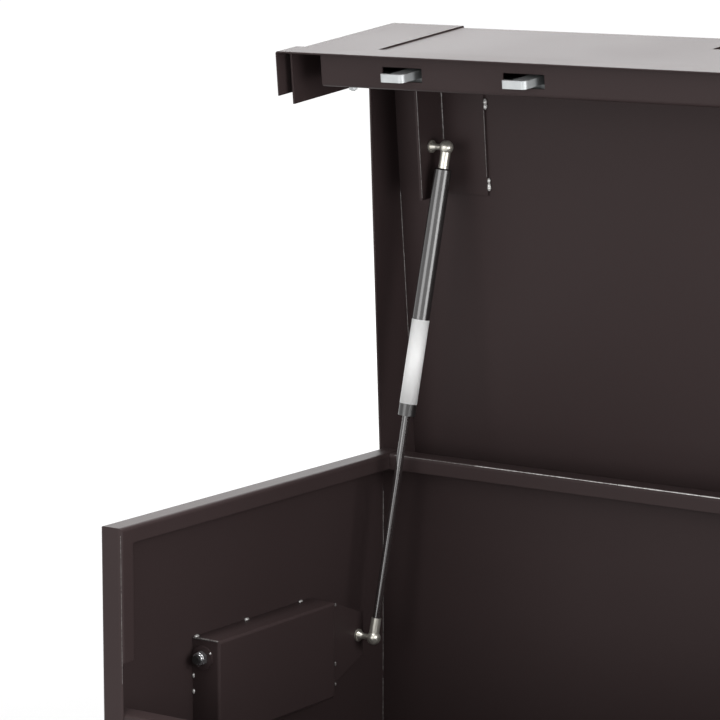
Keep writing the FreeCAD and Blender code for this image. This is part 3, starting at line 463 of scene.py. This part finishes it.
def weld_bead(name, start, end, body, radius, skin, seed):
    """Tube along a line whose radius goes as the square root of the distance from each end and
    swells a little at each ripple, with a slow wander from a few sine waves."""
    start, end = np.asarray(start, float), np.asarray(end, float)
    length = np.linalg.norm(end - start)
    along = np.linspace(0.0, length, max(int(length / BEAD_PITCH) * RIPPLE_ROWS, LEAST_ROWS))
    angles = np.linspace(0.0, TURN, BEAD_SIDES, endpoint=False)
    from_end = np.minimum(along, length - along)
    taper = np.sqrt(np.clip(from_end / (radius * BEAD_TAPER), 0.0, 1.0))
    ripple = 1.0 + RIPPLE_SWELL * np.abs(np.sin(math.pi * along / BEAD_PITCH + seed))
    wander = 1.0
    for swell, pace, shift in BEAD_WAVES:
        wander = wander + swell * np.sin(along * pace + seed * shift)
    size = radius * taper * ripple * wander
    spin, level = np.meshgrid(angles, along, indexing="xy")
    radii = np.broadcast_to(size[:, None], spin.shape)
    grid = swept(start, end - start, level, radii, spin)
    add_surface(name, grid, skin, body, closed=(False, True))


def strut_labels():
    """White film sleeve on the tube of each gas strut."""
    for side, hand in SIDES:
        down = np.array(joint(f"{side}_strut_slide")["axis"])
        low, high = (np.array(corner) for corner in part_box(f"{side}_strut_upper_ball"))
        ball = (low + high) / 2.0
        ball[0] = high[0] - BALL_RADIUS if hand < 0 else low[0] + BALL_RADIUS
        outer = TUBE_RADIUS + LABEL_LIFT
        film = [(TUBE_RADIUS, 0.0), (outer, 0.0),
                (outer, LABEL_LENGTH), (TUBE_RADIUS, LABEL_LENGTH)]
        grid = lathe(ball + down * LABEL_FROM_BALL, down, film, LABEL_SIDES)
        add_surface(f"{side}_strut_label", grid, LABEL, f"{side}_strut_tube",
                    closed=(True, True))


def fasteners():
    """Lock nuts on the handle ends, and the nuts and bolt ends of the lock bar's guides."""
    for side, hand in SIDES:
        swing = np.array(joint(f"{side}_handle_swing")["pos_m"])
        low, high = (np.array(corner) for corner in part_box(f"{side}_handle_nuts"))
        depth = M8_HEIGHT + M8_COLLAR
        for word, end, seat in (("front", -1.0, low[1] + depth), ("back", 1.0, high[1] - depth)):
            centre = np.array([swing[0], seat, swing[2]])
            grid = hex_nut(centre, (0.0, end, 0.0), M8_FLATS, M8_HEIGHT, M8_THREAD, M8_COLLAR)
            add_surface(f"{side}_handle_nut_{word}", grid, BRIGHT_NUT, f"{side}_handle",
                                    closed=(True, True), smooth=False)
        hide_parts(f"{side}_handle_nuts")
        x = hand * (END_X - GUIDE_INSET)
        z = LID_TOP - GUIDE_DROP
        place, above = opened([[x, CHANNEL_BACK, z], [x, CHANNEL_BACK + 1.0, z]])
        grid = hex_nut(place, above - place, M5_FLATS, M5_HEIGHT, M5_THREAD, 0.0)
        add_surface(f"{side}_guide_nut", grid, ZINC, "lid",
                    closed=(True, True), smooth=False)
        grid = lathe(place, above - place, BOLT_TIP, BOLT_SIDES)
        add_surface(f"{side}_guide_bolt", grid, ZINC, "lid", closed=(False, True))


def weld_row(stem, place, spans, body, radius, skin=WELD):
    """Short beads on one seam; place gives the seam's point at a distance along it."""
    for number, (near, far) in enumerate(spans):
        start, end = place(near * MM), place(far * MM)
        weld_bead(f"{stem}_{number}", start, end, body, radius, skin, number)


# Weld rows and rows of painted glints and highlights as distances along their seams, in millimetres
CHEEK_ROW = ((176.0, 258.0), (257.0, 269.0), (268.0, 334.0))
FOLD_ROW = ((64.0, 118.0),)
EDGE_ROW = ((84.0, 154.0),)
PLATE_ROW = ((50.0, 96.0), (97.0, 150.0), (151.0, 171.0))
BRACKET_ROW = ((72.0, 79.0), (77.0, 84.0), (155.0, 161.0), (160.0, 169.0))
BOX_TOP_ROW = ((2.0, 9.0), (84.0, 91.0), (176.0, 183.0))
BOX_WALL_ROW = ((36.0, 41.0), (52.0, 57.0))
BOX_REAR_ROW = ((0.0, 4.0), (62.0, 67.0), (84.0, 88.0))
BOX_END_MARGIN = 1.0
# The washer's row is a small bead that stands in for a painted glint on the washer's rim.
WASHER_GLINT_ROW = ((11.4, 14.2),)
CORNER_ROW = ((40.0, 118.0), (130.0, 196.0), (204.0, 290.0), (302.0, 400.0))
POST_ROW = ((7.0, 60.0), (61.0, 150.0))

# Rows under the lid: name, inset from the end wall, drop from the lid, spans, radius and skin
LID_ROWS = (
    ("cheek_weld", -CHEEK_GAP, 0.0, CHEEK_ROW, CHEEK_BEAD, WELD),
    # The fold, edge and plate rows are thin beads that stand in for painted glints along the
    # bracket's bend and free edges.
    ("fold_glint", BRACKET_FOLD, BRACKET_SHEET + FOLD_BEAD, FOLD_ROW, FOLD_BEAD, WELD),
    ("base_edge_glint", BRACKET_EDGE, BRACKET_SHEET, EDGE_ROW, EDGE_BEAD, WELD),
    ("plate_edge_glint", PLATE_FACE, PLATE_STAND, PLATE_ROW, EDGE_BEAD, WELD),
    ("bracket_weld", BRACKET_EDGE + BLOB_SHIFT, BLOB_DROP, BRACKET_ROW, BLOB_RADIUS, WELD_GLINT),
)

# Painted highlight line on the back rim's bend, brighter to the middle: name, spans, radius and
# skin
RIM_ROWS = (
    ("outer", ((30.0, 130.0), (790.0, 890.0)), RIM_FINE, WELD),
    ("mid", ((130.0, 300.0), (620.0, 790.0)), RIM_FINE, WELD_GLINT),
    ("inner", ((300.0, 460.0), (460.0, 620.0)), RIM_BROAD, WELD_GLINT),
)


def welds():
    """Stitch welds of the cheeks, strut brackets, recess boxes and wall corners, with painted
    glints along each bracket's fold and free edges, on each bracket plate's edge and on each
    handle's washer."""
    for side, hand in SIDES:
        for stem, inset, drop, spans, radius, skin in LID_ROWS:
            x, z = hand * (END_X - inset), LID_UNDER - drop
            weld_row(f"{side}_{stem}", lambda gap: opened([x, FLAP_FACE + gap, z]),
                     spans, "lid", radius, skin)
        low, high = (np.array(corner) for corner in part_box(f"{side}_handle_box"))
        wall_x, face_x = (low[0], high[0]) if hand < 0 else (high[0], low[0])
        seam_x = wall_x - hand * SEAM_LIFT
        weld_row(f"{side}_box_top_weld", lambda gap: [seam_x, low[1] + gap, high[2]],
                 BOX_TOP_ROW, "chest", BOX_BEAD, WELD_GLINT)
        weld_row(f"{side}_box_front_weld", lambda gap: [seam_x, low[1], high[2] - gap],
                 BOX_WALL_ROW, "chest", WALL_BEAD, WELD_GLINT)
        weld_row(f"{side}_box_back_weld", lambda gap: [seam_x, high[1], high[2] - gap],
                 BOX_WALL_ROW, "chest", WALL_BEAD, WELD_GLINT)
        washer_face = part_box(f"{side}_handle_washers")[0][1]
        # Small bead that stands in for a painted glint on the washer's rim.
        glint_x = wall_x - hand * WASHER_GLINT_INSET
        weld_row(f"{side}_washer_drip", lambda gap: [glint_x, washer_face, high[2] - gap],
                 WASHER_GLINT_ROW, "chest", WASHER_GLINT_RADIUS, WELD_GLINT)
        weld_row(f"{side}_box_rear_weld", lambda gap: [face_x, high[1], high[2] - gap],
                 BOX_REAR_ROW, "chest", REAR_BEAD)
        end_row = ((BOX_END_MARGIN, abs(face_x - wall_x) / MM - BOX_END_MARGIN),)
        weld_row(f"{side}_box_end_weld", lambda gap: [wall_x - hand * gap, low[1], high[2]],
                 end_row, "chest", END_BEAD)
        corner_x = hand * (END_X - SHEET)
        weld_row(f"{side}_corner_weld", lambda gap: [corner_x, -FRONT - SHEET, gap],
                 CORNER_ROW, "chest", CORNER_BEAD)


def edge_highlights():
    """Thin bright beads that stand in for painted highlights along the back rim's bend and the
    front posts' edges.
    """
    rim_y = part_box("back_panel")[0][1] + BEND_INSET + RIM_SINK
    rim_z = RIM - BEND_INSET - RIM_SINK
    for stem, spans, radius, skin in RIM_ROWS:
        weld_row(f"back_rim_{stem}_edge", lambda gap: [gap - END_X, rim_y, rim_z],
                 spans, "chest", radius, skin)
    for side, hand in SIDES:
        post_x = hand * (END_X - RIM_FLANGE + BEND_INSET)
        weld_row(f"{side}_post_edge", lambda gap: [post_x, FRONT + BEND_INSET, RIM - gap],
                 POST_ROW, "chest", POST_BEAD)


# Studio: the floor's glow goes from its near level to its far one between two distances, in
# metres; a lamp has its name, place, size and watts
WHITE = (1.0, 1.0, 1.0, 1.0)
AMBIENT = 0.52
FLOOR_REACH = 30.0
FLOOR_GREY = (0.48, 0.48, 0.48, 1.0)
GLOW_NEAR = {"From Min": 1.2, "To Min": 0.37}
GLOW_FAR = {"From Max": 4.5, "To Max": 0.80}
RAY = "ShaderNodeLightPath"
LAMP_AIM = (-0.2, 0.1, 0.6)
LAMPS = (
    ("left_box", (-0.94, -4.77, 1.1), (3.2, 2.2), 72.0),
    ("front_box", (3.0, -4.2, 1.5), (6.0, 3.6), 25.0),
    ("right_box", (2.33, -0.44, 0.95), (1.8, 1.8), 52.0),
    ("top_box", (0.0, 0.1, 4.0), (3.0, 0.6), 100.0),
    ("back_box", (-2.6, 4.0, 2.6), (5.0, 2.2), 104.0),
)


def light_world(scene):
    """World that is white to look at and gives the object its share of ambient light."""
    world = bpy.data.worlds.new("studio")
    world.use_nodes = True
    world.node_tree.nodes.clear()
    sky = Wire(world.node_tree)
    seen = sky.node(RAY, output="Is Camera Ray") + sky.node(RAY, output="Is Glossy Ray")
    seen = seen + sky.node(RAY, output="Is Transmission Ray")
    strength = AMBIENT + (1.0 - AMBIENT) * seen
    light = sky.node("ShaderNodeBackground", {}, {"Color": WHITE, "Strength": strength})
    sky.node("ShaderNodeOutputWorld", {}, {"Surface": light})
    scene.world = world


def lay_floor(scene):
    """Pale floor that keeps the chest's shadow and glows to white away from it."""
    material, start = new_material("studio_floor")
    shown = start.node(RAY, output="Is Camera Ray") + start.node(RAY, output="Is Glossy Ray")
    paint = start.node("ShaderNodeBsdfDiffuse", {}, {"Color": FLOOR_GREY})
    place = start.node("ShaderNodeTexCoord", output="Object")
    away = start.node("ShaderNodeVectorMath", {"operation": "LENGTH"}, {0: place}, output="Value")
    level = start.node("ShaderNodeMapRange", {}, {"Value": away, **GLOW_NEAR, **GLOW_FAR})
    glow = start.node("ShaderNodeEmission", {}, {"Strength": level * shown})
    both = start.node("ShaderNodeAddShader", {}, {0: paint, 1: glow})
    start.node("ShaderNodeOutputMaterial", {}, {"Surface": both})
    mesh = bpy.data.meshes.new("studio_floor")
    signs = ((-1.0, -1.0), (1.0, -1.0), (1.0, 1.0), (-1.0, 1.0))
    corners = [(x * FLOOR_REACH, y * FLOOR_REACH, 0.0) for x, y in signs]
    mesh.from_pydata(corners, [], [(0, 1, 2, 3)])
    mesh.materials.append(material)
    floor = bpy.data.objects.new("studio_floor", mesh)
    scene.collection.objects.link(floor)


def soft_box(scene, name, place, size, power):
    """Rectangular area lamp at a place, turned to the lamps' common aim."""
    lamp = bpy.data.lights.new(name, "AREA")
    lamp.shape = "RECTANGLE"
    lamp.size, lamp.size_y = size
    lamp.energy = power
    item = bpy.data.objects.new(name, lamp)
    item.location = place
    item.visible_camera = False
    along = np.array(LAMP_AIM) - np.array(place)
    tilt = math.atan2(along[2], math.hypot(along[0], along[1]))
    item.rotation_euler = (math.pi / 2.0 + tilt, 0.0, math.atan2(-along[0], along[1]))
    scene.collection.objects.link(item)


def place_camera(scene):
    """Camera at the photograph's viewing angle."""
    lens = bpy.data.cameras.new("camera")
    lens.lens = CAMERA_LENS_MM
    lens.sensor_width = SENSOR_MM
    camera = bpy.data.objects.new("camera", lens)
    camera.location = CAMERA_PLACE
    camera.rotation_euler = (math.pi / 2.0 - CAMERA_PITCH, 0.0, CAMERA_YAW)
    scene.collection.objects.link(camera)
    scene.camera = camera


def stage():
    """Plain studio: world, floor, soft boxes all round and above, and the camera."""
    scene = bpy.context.scene
    scene.view_settings.view_transform = "Standard"
    light_world(scene)
    lay_floor(scene)
    for name, place, size, power in LAMPS:
        soft_box(scene, name, place, size, power)
    place_camera(scene)


dress_nodes()
strut_labels()
fasteners()
welds()
edge_highlights()
stage()
